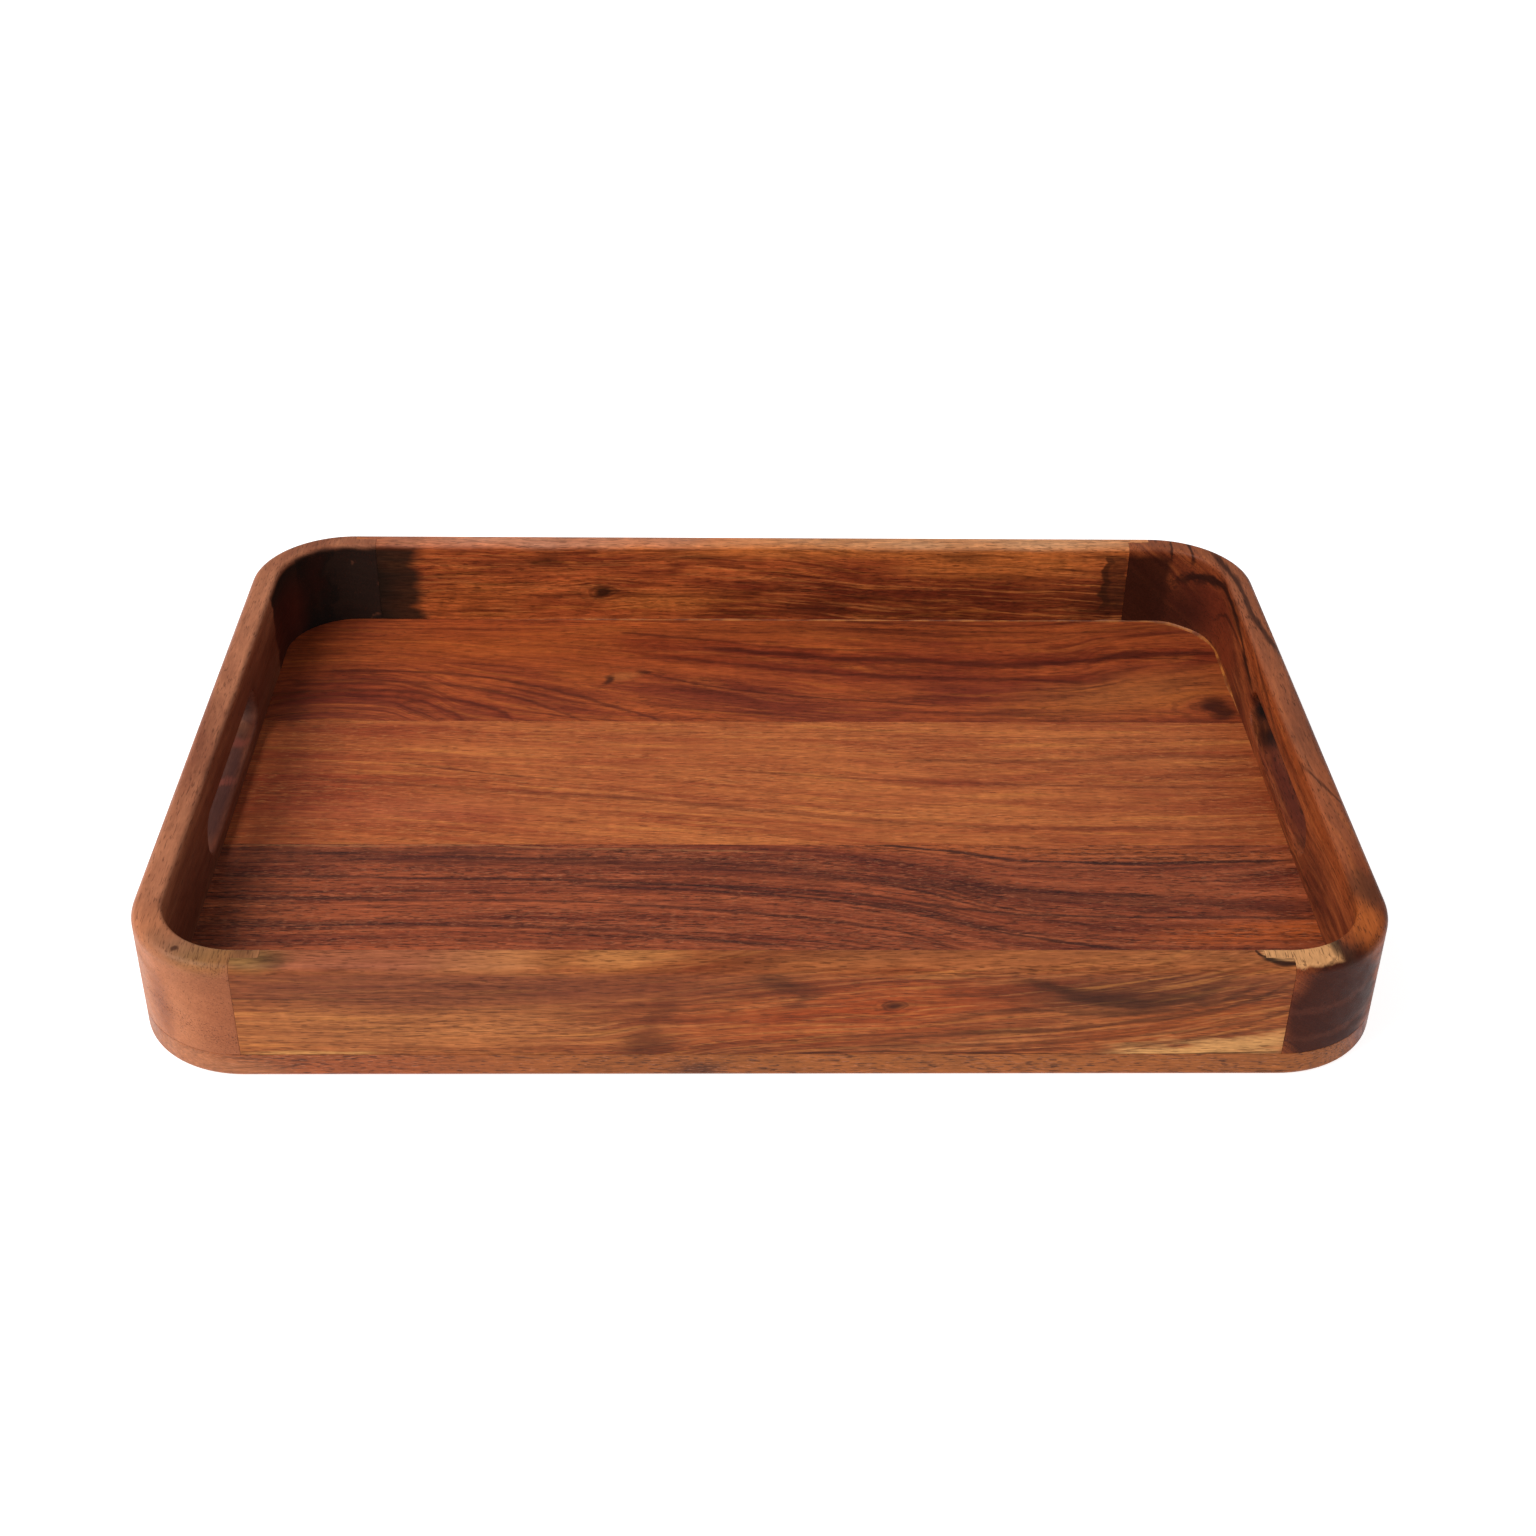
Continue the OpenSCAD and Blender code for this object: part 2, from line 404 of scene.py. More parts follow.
class Wood:
    """A board's material, built up from its ground colour to its stains, with painted shade and a painted
    highlight in places. Places are in millimetres in the tray's frame. The board runs along one axis, shows
    its figure across a second on its main face, and the third goes through it."""

    def __init__(self, name, along, across, seed, bends=(), bend_zone=(0, 1), tilt=0.35, wave=1.5,
                 knots=()):
        self.material = bpy.data.materials.new(name)
        self.material.use_nodes = True
        self.graph = g = Graph(self.material.node_tree)
        place = g.vector("SCALE", g.add("ShaderNodeTexCoord").outputs["Object"], scale=1 / MM)
        axes = dict(zip("XYZ", g.split(place)))
        through = "XYZ".replace(along, "").replace(across, "")
        self.along, self.across, self.through = axes[along], axes[across], axes[through]
        straight = g.join(self.along, self.across, self.through)
        self.fibre = g.vector("ADD", straight, (97 * seed, 41 * seed, 67 * seed))
        # Stains, painted shade and strokes are placed in board space, with ragged edges that follow the
        # fibres
        ragged = g.vector("SUBTRACT", g.noise(self.fibre, (26, 7, 7), 3, colour=True), (0.5, 0.5, 0.5))
        self.spot = g.vector("ADD", straight, g.vector("MULTIPLY", ragged, (14, 3.2, 3.2)))
        sway = g.vector("SUBTRACT", g.noise(self.fibre, (80, 30, 30), 1, colour=True), (0.5, 0.5, 0.5))
        fray = g.vector("SUBTRACT", g.noise(self.fibre, (12, 1.6, 1.6), 1, colour=True), (0.5, 0.5, 0.5))
        self.flow = g.vector("ADD", straight, g.vector("MULTIPLY", sway, (16, 5, 5)))
        self.flow = g.vector("ADD", self.flow, g.vector("MULTIPLY", fray, (4, 0.9, 0.9)))
        # Growth rings: sheets that tilt through the board, bend along it and part round knots
        growth = g.math("MULTIPLY_ADD", self.through, tilt, self.across)
        for centre, radii, lift in knots:
            gap = g.math("SUBTRACT", self.across, centre[1])
            reach = g.join(g.math("DIVIDE", g.math("SUBTRACT", self.along, centre[0]), radii[0]),
                           g.math("DIVIDE", gap, radii[1]), 0)
            fall = g.math("EXPONENT", g.math("MULTIPLY", g.vector("DOT_PRODUCT", reach, reach), -1))
            growth = g.math("SUBTRACT", growth, g.math("MULTIPLY", g.math("MULTIPLY", fall, lift), gap))
        if bends:
            bent = [g.curve(self.along, points) for points in bends]
            if len(bent) == 2:
                zone = g.ease(self.across, *bend_zone)
                bent[0] = g.math("MULTIPLY_ADD", g.math("SUBTRACT", bent[1], bent[0]), zone, bent[0])
            growth = g.math("SUBTRACT", growth, bent[0])
        drift = g.math("SUBTRACT", g.noise(self.fibre, (70, 24, 24), 2), 0.5)
        growth = g.math("MULTIPLY_ADD", drift, 6 * wave, growth)
        wobble = g.math("SUBTRACT", g.noise(self.fibre, (22, 9, 9), 2), 0.5)
        growth = g.math("MULTIPLY_ADD", wobble, wave, growth)
        self.rings = g.vector("ADD", g.join(self.along, growth, 0), (53 * seed, 31 * seed, 17 * seed))
        self.colour = None
        self.height = g.math("MULTIPLY", g.noise(self.fibre, (9, 0.5, 0.5), 2), 0.35)

    def cover(self, mask, amount, colour):
        self.colour = self.graph.mix(self.graph.math("MULTIPLY", mask, amount), self.colour, colour)

    def ground(self, dark, light, length=110, width=11, contrast=0.12):
        """The board's colour: wide soft streaks between two tones."""
        g = self.graph
        streaks = g.noise(self.rings, (length, width, 1), 7, 0.66)
        self.colour = g.mix(g.ease(streaks, 0.5 - contrast, 0.5 + contrast), dark, light)

    def bands(self, colour, length, width, amount, low=0.52, high=0.66, detail=3):
        """Soft bands that follow the rings."""
        g = self.graph
        streaks = g.noise(g.vector("ADD", self.rings, (211, 83, 0)), (length, width, 1), detail, 0.55)
        self.cover(g.ease(streaks, low, high), amount, colour)

    def lines(self, colour, length, width, amount, coverage=0.5):
        """Thin ring lines that come and go."""
        g = self.graph
        field = g.noise(g.vector("ADD", self.rings, (-130, 59, 0)), (length, width, 1), 2, 0.5)
        here = g.noise(g.vector("ADD", self.rings, (71, -43, 0)), (90, 9, 1), 2)
        mask = g.math("MULTIPLY", g.ease(field, 0.56, 0.68),
                      g.ease(here, 0.6 - 0.3 * coverage, 0.72 - 0.3 * coverage))
        self.cover(mask, amount, colour)

    def patch(self, colour, centre, radii, amount, turn=0, soft=0.5, depth=RIGHT_THROUGH, box=False):
        """A stain, a tint or a patch of painted shade with ragged edges, round a place (along, across); depth
        is its place and reach through the board. It is an oval, or a box."""
        g = self.graph
        node = g.add("ShaderNodeMapping", {"Vector": self.spot}, vector_type="TEXTURE")
        node.inputs["Location"].default_value = (*centre, depth[0])
        node.inputs["Rotation"].default_value = (0, 0, math.radians(turn))
        node.inputs["Scale"].default_value = (*radii, depth[1])
        reach = g.vector("LENGTH", node.outputs[0])
        if box:
            sides = [g.math("ABSOLUTE", side) for side in g.split(node.outputs[0])]
            reach = g.math("MAXIMUM", g.math("MAXIMUM", sides[0], sides[1]), sides[2])
        self.cover(g.ease(reach, 1 - soft, 1 + soft, 1, 0), amount, colour)

    def stroke(self, colour, points, width, amount, fade=8, through=False):
        """A dark or light line drawn along a curve (along, across), uneven as grain is. Through the board
        instead, it is a line (along, through) on the rim's top."""
        g = self.graph
        spots = g.split(self.flow)
        centre = g.curve(spots[0], points)
        gap = g.math("ABSOLUTE", g.math("SUBTRACT", spots[2 if through else 1], centre))
        uneven = g.noise(g.vector("ADD", self.fibre, (points[0][0], 0, 0)), (16, 3, 3), 2)
        reach = g.math("DIVIDE", gap, g.ease(uneven, 0.3, 0.7, 0.45 * width, 1.35 * width))
        mask = g.ease(reach, 0.15, 1, 1, 0)
        begin = g.ease(spots[0], points[0][0] - fade, points[0][0] + fade)
        end = g.ease(spots[0], points[-1][0] - fade, points[-1][0] + fade, 1, 0)
        mask = g.math("MULTIPLY", g.math("MULTIPLY", mask, begin), end)
        if through:
            mask = g.math("MULTIPLY", mask, g.ease(self.across, 38, 44))
        self.cover(mask, amount, colour)

    def rings_round(self, colour, centre, radii, spacing, amount):
        """A knot's rings, fading outwards."""
        g = self.graph
        offset = g.vector("DIVIDE", g.vector("SUBTRACT", self.spot, centre), radii)
        reach = g.vector("LENGTH", offset)
        wave = g.math("SINE", g.math("MULTIPLY", reach, 2 * math.pi / spacing))
        mask = g.math("MULTIPLY", g.ease(wave, 0.1, 0.9), g.ease(reach, 0.5, 1.5, 1, 0))
        self.cover(mask, amount, colour)

    def grain(self, dark, light, amount):
        """Fine streaks in two sizes, towards a darker and a lighter tone."""
        g = self.graph
        fine = g.noise(g.vector("ADD", self.rings, (17, 307, 0)), (26, 0.8, 1), 2, 0.6)
        wide = g.noise(g.vector("ADD", self.rings, (5, 11, 0)), (60, 1.9, 1), 2, 0.5)
        swing = g.math("SUBTRACT", g.math("ADD", fine, wide), 1)
        self.cover(g.ease(swing, -0.03, -0.26), amount, dark)
        self.cover(g.ease(swing, 0.03, 0.26), amount, light)

    def fibres(self, amount):
        """Fine lighter and darker fibres, and a slow mottle across the grain."""
        g = self.graph
        level = 1.0
        for sizes, detail, share in (((6, 0.7, 0.7), 2, 1.1), ((20, 1.6, 1.6), 2, 0.5), ((4, 9, 9), 2, 0.35)):
            swing = g.noise(g.vector("ADD", self.fibre, (sizes[0], 311, 5)), sizes, detail, 0.6)
            level = g.math("MULTIPLY_ADD", g.math("SUBTRACT", swing, 0.5), 3.4 * share * amount, level)
        self.colour = g.mix(1.0, self.colour, g.join(level, level, level), "MULTIPLY")

    def pores(self, colour, amount, density=0.5, length=4.5, width=0.5, shift=0):
        """Open pores: short dark dashes along the grain, sunk into the surface."""
        g = self.graph
        dashes = g.noise(g.vector("ADD", self.fibre, (shift, 5, 211)), (length, width, width), 1)
        crowd = g.math("SUBTRACT", g.noise(self.rings, (80, 6, 1), 2), 0.5)
        level = g.math("MULTIPLY_ADD", crowd, 0.3, dashes)
        mask = g.ease(level, 0.66 - 0.07 * density, 0.74 - 0.07 * density)
        self.cover(mask, amount, colour)
        self.height = g.math("SUBTRACT", self.height, mask)

    def finish(self, roughness=0.42, relief=0.35, specular=0.15):
        """The oiled surface over it all."""
        g = self.graph
        shader = self.material.node_tree.nodes["Principled BSDF"]
        links = self.material.node_tree.links
        links.new(self.colour, shader.inputs["Base Color"])
        sheen = g.noise(self.fibre, (30, 4, 4), 2)
        links.new(g.ease(sheen, 0.3, 0.7, roughness - 0.05, roughness + 0.07), shader.inputs["Roughness"])
        bump = g.add("ShaderNodeBump", {"Height": self.height, "Strength": relief, "Distance": 0.1 * MM})
        links.new(bump.outputs[0], shader.inputs["Normal"])
        shader.inputs["Specular IOR Level"].default_value = specular
        return self.material


# ---- The seven boards' figure ----


def rear_plank_wood():
    low = [(-200, -5), (-167, 0), (-140, -8), (-121, -20), (-100, -26), (-72, -32), (-38, -38), (0, -42),
           (60, -46), (120, -46), (200, -44)]
    high = [(-200, 4), (0, 0), (60, -4), (110, -6), (150, -1), (200, 4)]
    wood = Wood("rear_plank_oiled", "X", "Y", 1.3, bends=(low, high), bend_zone=(50, 138), wave=0.7,
                knots=(((-55, 90), (16, 7), 0.35), ((193, 67), (30, 12), 0.5)))
    wood.ground(paint(110, 42, 26), paint(166, 77, 37), 90, 9, 0.2)
    wood.patch(paint(176, 88, 34), (-105, 116), (50, 9), 0.4, soft=0.9)
    wood.patch(paint(112, 42, 25), (-188, 90), (34, 50), 0.4, soft=0.9)
    wood.patch(paint(164, 86, 36), (30, 129), (110, 9), 0.3, soft=0.9)
    wood.patch(paint(168, 94, 46), (158, 78), (46, 13), 0.7, turn=14, soft=0.8)
    wood.patch(paint(108, 42, 27), (-8, 72), (58, 13), 0.6, turn=-12, soft=0.6)
    wood.patch(paint(120, 52, 32), (-165, 62), (48, 9), 0.5, soft=0.7)
    wood.bands(paint(80, 28, 18), 90, 3.6, 0.6, 0.5, 0.66, detail=5)
    wood.bands(paint(182, 98, 42), 60, 2.6, 0.45, 0.53, 0.7, detail=5)
    wood.patch(paint(156, 72, 33), (-115, 112), (85, 17), 0.45, soft=0.7)
    wood.grain(paint(74, 26, 17), paint(184, 96, 46), 0.28)
    wood.lines(paint(66, 24, 17), 110, 2.4, 0.22, 0.4)
    dark = paint(62, 22, 17)
    red = paint(106, 34, 21)
    wood.stroke(red, [(-202, 66), (-185, 73), (-165, 75), (-145, 73), (-131, 65), (-121, 54)], 6, 0.5)
    wood.stroke(dark, [(-202, 66), (-185, 73), (-165, 75), (-145, 73), (-131, 65), (-121, 54)], 2.2, 0.45)
    wood.stroke(red, [(-202, 73), (-185, 78), (-150, 79), (-128, 73), (-112, 66), (-100, 54)], 6, 0.5)
    wood.stroke(dark, [(-202, 73), (-185, 78), (-150, 79), (-128, 73), (-112, 66), (-100, 54)], 2.4, 0.5)
    wood.stroke(red, [(-60, 118), (-20, 115), (20, 109), (60, 105), (110, 102), (145, 106), (175, 112),
                      (200, 112)], 10, 0.6)
    wood.stroke(red, [(-50, 108), (0, 101), (40, 94), (70, 91), (110, 90), (150, 88)], 7, 0.5)
    wood.stroke(dark, [(-190, 86), (-150, 86), (-115, 81), (-95, 70), (-72, 55)], 2, 0.5)
    wood.stroke(dark, [(-180, 93), (-130, 92), (-100, 86), (-72, 74), (-38, 55)], 2.4, 0.6)
    wood.stroke(dark, [(-130, 101), (-95, 97), (-70, 91), (-58, 88)], 1.2, 0.4)
    wood.stroke(dark, [(-45, 93), (-22, 85), (0, 79), (40, 72), (75, 68)], 1.3, 0.55)
    wood.stroke(dark, [(-20, 114), (20, 108), (60, 104), (110, 101), (145, 105), (175, 111), (200, 111)],
                4.2, 0.7)
    wood.stroke(dark, [(-40, 106), (0, 100), (40, 93), (70, 90), (110, 89), (140, 86)], 2.6, 0.55)
    wood.stroke(dark, [(-60, 129), (-20, 121), (10, 115), (60, 113)], 1.4, 0.5)
    wood.stroke(dark, [(10, 132), (60, 131), (110, 129), (170, 132)], 1.6, 0.4)
    wood.stroke(dark, [(150, 104), (165, 107), (200, 103)], 1.4, 0.5)
    wood.stroke(dark, [(118, 84), (128, 79), (140, 81), (160, 88)], 1.2, 0.5)
    wood.patch(paint(172, 84, 36), (-72, 90), (12, 8), 0.5, soft=0.8)
    wood.patch(paint(160, 88, 46), (-56, 90.5), (7, 3), 0.8, turn=12, soft=0.6)
    wood.patch(paint(38, 17, 14), (-62.5, 87.5), (1.8, 4), 0.8, turn=-25, soft=0.6)
    wood.patch(paint(48, 22, 16), (-47, 94), (3, 1.4), 0.7, soft=0.6)
    wood.patch(paint(42, 18, 16), (191, 66), (5.5, 9), 0.85, soft=0.5)
    wood.rings_round(paint(92, 42, 22), (193, 66, 5), (24, 14, 40), 0.35, 0.45)
    wood.pores(paint(44, 16, 12), 0.5, 0.6)
    wood.fibres(0.33)
    return wood.finish()


def middle_plank_wood():
    low = [(-200, 13), (-160, 12), (-60, 0), (0, -8), (60, -17), (150, -20), (200, -19)]
    high = [(-200, 12), (-140, 8), (-80, 1), (0, -1), (80, -3), (200, 0)]
    wood = Wood("middle_plank_oiled", "X", "Y", 2.7, bends=(low, high), bend_zone=(-10, 46), wave=0.6)
    wood.ground(paint(147, 67, 37), paint(190, 108, 57), 110, 12, 0.2)
    wood.patch(paint(136, 56, 30), (-192, 10), (70, 60), 0.6, soft=0.8)
    wood.patch(paint(136, 58, 32), (-130, -2), (60, 12), 0.4, turn=-6, soft=0.9)
    wood.patch(paint(142, 66, 35), (190, 5), (34, 55), 0.55, soft=0.8)
    wood.bands(paint(132, 52, 30), 130, 5, 0.48, 0.5, 0.66, detail=5)
    wood.bands(paint(210, 130, 64), 60, 3, 0.42, 0.53, 0.7, detail=5)
    wood.grain(paint(112, 46, 26), paint(204, 122, 70), 0.16)
    wood.patch(paint(190, 104, 66), (-136, -8), (34, 8), 0.35, soft=0.9)
    wood.patch(paint(134, 52, 30), (-182, 4), (40, 12), 0.45, turn=-5, soft=0.8)
    dark = paint(98, 42, 26)
    wood.lines(dark, 130, 1.8, 0.35, 0.3)
    wood.stroke(dark, [(-140, 24), (-110, 18), (-80, 13)], 1.3, 0.7)
    wood.stroke(dark, [(-170, 12), (-110, 6), (-60, 0), (0, -8), (60, -17), (150, -20), (198, -18)],
                2.4, 0.45)
    wood.stroke(dark, [(60, 27), (110, 27), (150, 29), (200, 30)], 2.8, 0.5)
    wood.stroke(dark, [(-10, 19), (40, 14), (80, 11), (130, 9), (195, 8)], 1.5, 0.5)
    wood.stroke(dark, [(30, 46), (90, 44), (140, 43), (195, 44)], 1.1, 0.45)
    wood.stroke(dark, [(-60, 46), (-10, 47), (60, 49)], 0.9, 0.35)
    wood.pores(paint(80, 32, 20), 0.5, 0.8)
    wood.pores(paint(220, 142, 84), 0.3, 0.5, length=4, width=0.4, shift=37)
    wood.fibres(0.31)
    return wood.finish()


def front_plank_wood():
    near = [(-200, 0), (-40, -1), (0, -4), (50, -14), (100, -29), (150, -33), (200, -34)]
    far = [(-200, 0), (-20, 0), (40, -5), (75, -11), (110, -17), (150, -17), (200, -14)]
    wood = Wood("front_plank_oiled", "X", "Y", 4.1, bends=(near, far), bend_zone=(-85, -35), wave=0.7)
    wood.ground(paint(106, 44, 29), paint(158, 78, 46), 90, 7, 0.17)
    wood.patch(paint(184, 88, 38), (182, -84), (40, 6), 0.75, turn=5, soft=0.7)
    wood.patch(paint(172, 88, 44), (115, -34), (90, 5), 0.75, turn=-3, soft=0.7)
    wood.bands(paint(172, 92, 56), 70, 2.2, 0.5, 0.52, 0.7, detail=5)
    wood.bands(paint(78, 32, 26), 100, 2.8, 0.5, 0.5, 0.68, detail=5)
    wood.grain(paint(66, 28, 24), paint(180, 100, 62), 0.28)
    dark = paint(50, 26, 24)
    wood.stroke(dark, [(-205, -40), (-120, -40), (-60, -42), (-20, -44), (20, -49), (50, -54), (100, -61),
                       (150, -66), (205, -70)], 7, 0.38)
    wood.stroke(dark, [(-205, -34), (-150, -34), (-80, -35), (-20, -36)], 4, 0.4)
    wood.lines(dark, 110, 2, 0.55, 0.7)
    wood.stroke(dark, [(38, -29.5), (75, -35), (110, -41), (150, -43), (200, -40)], 1.6, 0.85)
    wood.stroke(dark, [(-60, -57), (0, -62), (50, -72), (100, -88), (130, -94)], 1.6, 0.7)
    wood.stroke(dark, [(-200, -50), (-120, -52), (-40, -55), (20, -60), (60, -68), (110, -74), (200, -76)],
                1.4, 0.65)
    wood.stroke(dark, [(-190, -64), (-110, -65), (-50, -68), (10, -76), (60, -90)], 1.5, 0.55)
    wood.stroke(dark, [(-200, -78), (-120, -79), (-60, -82), (0, -92)], 2.2, 0.5)
    wood.stroke(paint(158, 106, 66), [(-205, -32), (-150, -31.5), (-60, -34), (0, -36)], 0.8, 0.45)
    wood.patch(paint(152, 86, 38), (0, -146), (400, 9), 0.85, depth=(2, 12), soft=0.4)
    wood.patch(paint(134, 72, 34), (-42, -146), (34, 9), 0.6, depth=(2, 12), soft=0.8)
    wood.patch(paint(136, 76, 34), (172, -146), (30, 12), 0.6, depth=(2, 12), soft=0.8)
    wood.patch(paint(140, 66, 40), (-150, -148), (60, 9), 0.6, depth=(2, 12), soft=0.7)
    wood.patch(paint(60, 30, 22), (-20, -149), (9, 6), 0.7, depth=(3, 3), soft=0.7)
    wood.pores(paint(36, 18, 18), 0.6, 1.4, length=4)
    wood.patch(paint(164, 102, 66), (-198, -136), (40, 44), 0.8, depth=(1, 9), soft=0.3)
    wood.pores(paint(186, 116, 80), 0.34, 0.8, length=3, width=0.4, shift=37)
    wood.fibres(0.34)
    return wood.finish()


def front_rail_wood():
    bend = [(-172, 0), (-60, 0), (-38, 1), (0, 6), (40, 9), (60, 10), (110, 15), (160, 26), (172, 29)]
    wood = Wood("front_rail_oiled", "X", "Z", 5.9, bends=(bend,), wave=0.7, tilt=0.5,
                knots=(((42, 30), (12, 5), 0.7), ((-38, 15), (14, 10), 0.5)))
    wood.ground(paint(118, 54, 29), paint(166, 94, 50), 50, 5, 0.2)
    wood.patch(paint(178, 110, 62), (-122, 21), (62, 9), 0.6, soft=0.7)
    wood.patch(paint(154, 62, 24), (34, 29), (56, 11), 0.65, turn=8, soft=0.8)
    wood.patch(paint(150, 70, 28), (138, 23), (44, 6), 0.65, turn=12, soft=0.7)
    wood.patch(paint(92, 44, 26), (122, 37), (52, 8), 0.6, soft=0.7)
    wood.patch(paint(66, 32, 20), (112, 33.5), (24, 5), 0.7, soft=0.8)
    wood.bands(paint(100, 46, 26), 50, 2.4, 0.45, 0.5, 0.66, detail=5)
    wood.bands(paint(190, 120, 60), 40, 1.8, 0.45, 0.53, 0.7, detail=5)
    wood.patch(paint(206, 138, 80), (-90, 46.4), (17, 2.8), 0.6, soft=0.6)
    wood.patch(paint(204, 134, 76), (-48, 47.6), (24, 2), 0.6, soft=0.7)
    wood.grain(paint(88, 40, 22), paint(192, 122, 70), 0.3)
    wood.patch(paint(106, 53, 37), (-112, 37), (78, 8), 0.62, soft=0.5)
    wood.patch(paint(112, 52, 30), (-15, 38), (40, 5), 0.5, soft=0.8)
    dark = paint(50, 25, 15)
    wood.lines(dark, 60, 1.3, 0.36, 0.5)
    wood.stroke(dark, [(84, 42), (98, 37), (108, 33), (122, 32), (134, 34), (148, 41)], 4.5, 0.6)
    wood.stroke(dark, [(40, 15), (70, 18), (100, 21), (125, 25), (150, 31), (168, 40)], 1.8, 0.55)
    wood.stroke(dark, [(60, 23), (90, 28), (120, 28), (145, 33), (160, 41)], 1.8, 0.5)
    wood.stroke(dark, [(20, 11), (70, 13), (110, 16), (150, 22), (172, 30)], 1.4, 0.4)
    wood.stroke(paint(202, 146, 88), [(116, 8.5), (140, 10.5), (160, 13), (176, 15)], 7.5, 0.85)
    wood.stroke(paint(84, 42, 22), [(108, 11), (135, 15), (155, 18.5), (174, 22)], 1.6, 0.5)
    # painted highlight: a light strip along the seam over the base, at the left end only
    wood.stroke(paint(198, 138, 78), [(-172, 10.5), (-150, 10.5), (-128, 10)], 1.4, 0.7)
    wood.patch(paint(66, 27, 16), (-38, 14), (8, 6), 0.65, turn=20, soft=0.9)
    wood.patch(paint(84, 38, 22), (-34, 26), (4, 9), 0.4, turn=-25, soft=0.9)
    wood.patch(paint(64, 32, 20), (6, 39), (9, 3.4), 0.6, turn=-20, soft=0.8)
    wood.patch(paint(74, 36, 22), (12, 33), (6, 2), 0.5, turn=30, soft=0.8)
    wood.rings_round(paint(72, 28, 14), (42, 30, -149), (6, 2.8, 30), 0.5, 0.45)
    wood.patch(paint(56, 24, 14), (42, 30), (3, 1.3), 0.75, soft=0.6)
    wood.patch(paint(160, 92, 64), (-130, 46.5), (44, 2.5), 0.7, soft=0.7)
    wood.patch(paint(178, 106, 62), (90, 46.5), (90, 2), 0.5, soft=0.5)
    wood.patch(paint(128, 96, 54), (-166, 47), (10, 4), 0.75, depth=(-144, 7), soft=0.6)
    wood.patch(paint(208, 152, 100), (170, 50), (8, 6), 0.92, depth=(-141, 5), soft=0.15, box=True)
    wood.stroke(paint(36, 22, 18), [(158.5, -138), (160.5, -144), (166, -147.4), (173, -146.4)], 2.2, 0.92,
                fade=1, through=True)
    wood.patch(paint(58, 36, 26), (-158, 47), (5, 4), 0.6, depth=(-145, 3), soft=0.8)
    wood.stroke(dark, [(8, 9.6), (90, 9.6), (174, 9.6)], 0.6, 0.75)
    wood.pores(paint(60, 29, 17), 0.5, 1.2, length=5, width=0.4)
    wood.fibres(0.3)
    return wood.finish(specular=0.08)


def rear_rail_wood():
    bend = [(-172, 0), (0, 0), (60, -6), (150, -9), (172, -10)]
    wood = Wood("rear_rail_oiled", "X", "Z", 7.2, bends=(bend,), wave=1.2, tilt=-0.3,
                knots=(((-67, 24), (14, 6), 0.6),))
    wood.ground(paint(132, 54, 30), paint(200, 102, 52), 34, 5, 0.18)
    wood.patch(paint(216, 124, 56), (-38, 19), (26, 5), 0.6, soft=0.9)
    wood.patch(paint(206, 112, 52), (-120, 20), (30, 9), 0.5, soft=0.9)
    wood.patch(paint(96, 40, 24), (-95, 37), (22, 4), 0.5, soft=0.9)
    wood.patch(paint(214, 126, 60), (70, 45), (120, 4.5), 0.7, soft=0.7)
    wood.patch(paint(212, 120, 56), (108, 37), (44, 7), 0.75, soft=0.5)
    wood.patch(paint(94, 33, 18), (90, 18), (100, 11), 0.72, soft=0.7)
    # painted shade: dark low down at the right end, in the rear right inner corner
    wood.patch(paint(60, 24, 14), (162, 16), (22, 14), 0.7, soft=0.7)
    wood.patch(paint(70, 26, 16), (30, 15), (12, 4), 0.5, soft=0.9)
    wood.bands(paint(84, 32, 17), 34, 2.4, 0.5, 0.5, 0.66, detail=5)
    wood.bands(paint(214, 126, 58), 28, 2, 0.4, 0.53, 0.7, detail=5)
    wood.grain(paint(78, 30, 17), paint(224, 136, 72), 0.38)
    wood.lines(paint(54, 22, 13), 40, 1.3, 0.5, 0.5)
    wood.patch(paint(42, 31, 23), (-176, 22), (31, 23), 0.93, depth=(138, 9), soft=0.12, box=True)
    wood.patch(paint(26, 22, 17), (-180, 20), (24, 28), 0.8, depth=(138, 9), soft=0.3)
    wood.patch(paint(64, 28, 16), (-88, 39), (6, 3), 0.6, soft=0.8)
    wood.patch(paint(28, 14, 10), (-67, 23.5), (4, 2.6), 0.9, soft=0.6)
    wood.rings_round(paint(70, 30, 16), (-67, 23.5, 140), (9, 4, 30), 0.5, 0.45)
    wood.patch(paint(74, 38, 22), (157, 29), (5.5, 13), 0.65, depth=(138, 6), soft=0.12, box=True)
    wood.patch(paint(40, 22, 14), (153.5, 30), (1.6, 12), 0.5, depth=(138, 6), soft=0.4, box=True)
    wood.patch(paint(58, 26, 16), (90, 41), (8, 2.6), 0.5, soft=0.8)
    wood.patch(paint(194, 134, 104), (-90, 50), (90, 5), 0.85, soft=0.5)
    wood.patch(paint(206, 150, 106), (90, 50), (110, 5), 0.85, soft=0.5)
    wood.patch(paint(220, 170, 126), (144, 50), (44, 4.5), 0.5, soft=0.6)
    wood.pores(paint(48, 20, 12), 0.5, 1.2, length=4, width=0.4)
    wood.fibres(0.36)
    return wood.finish()


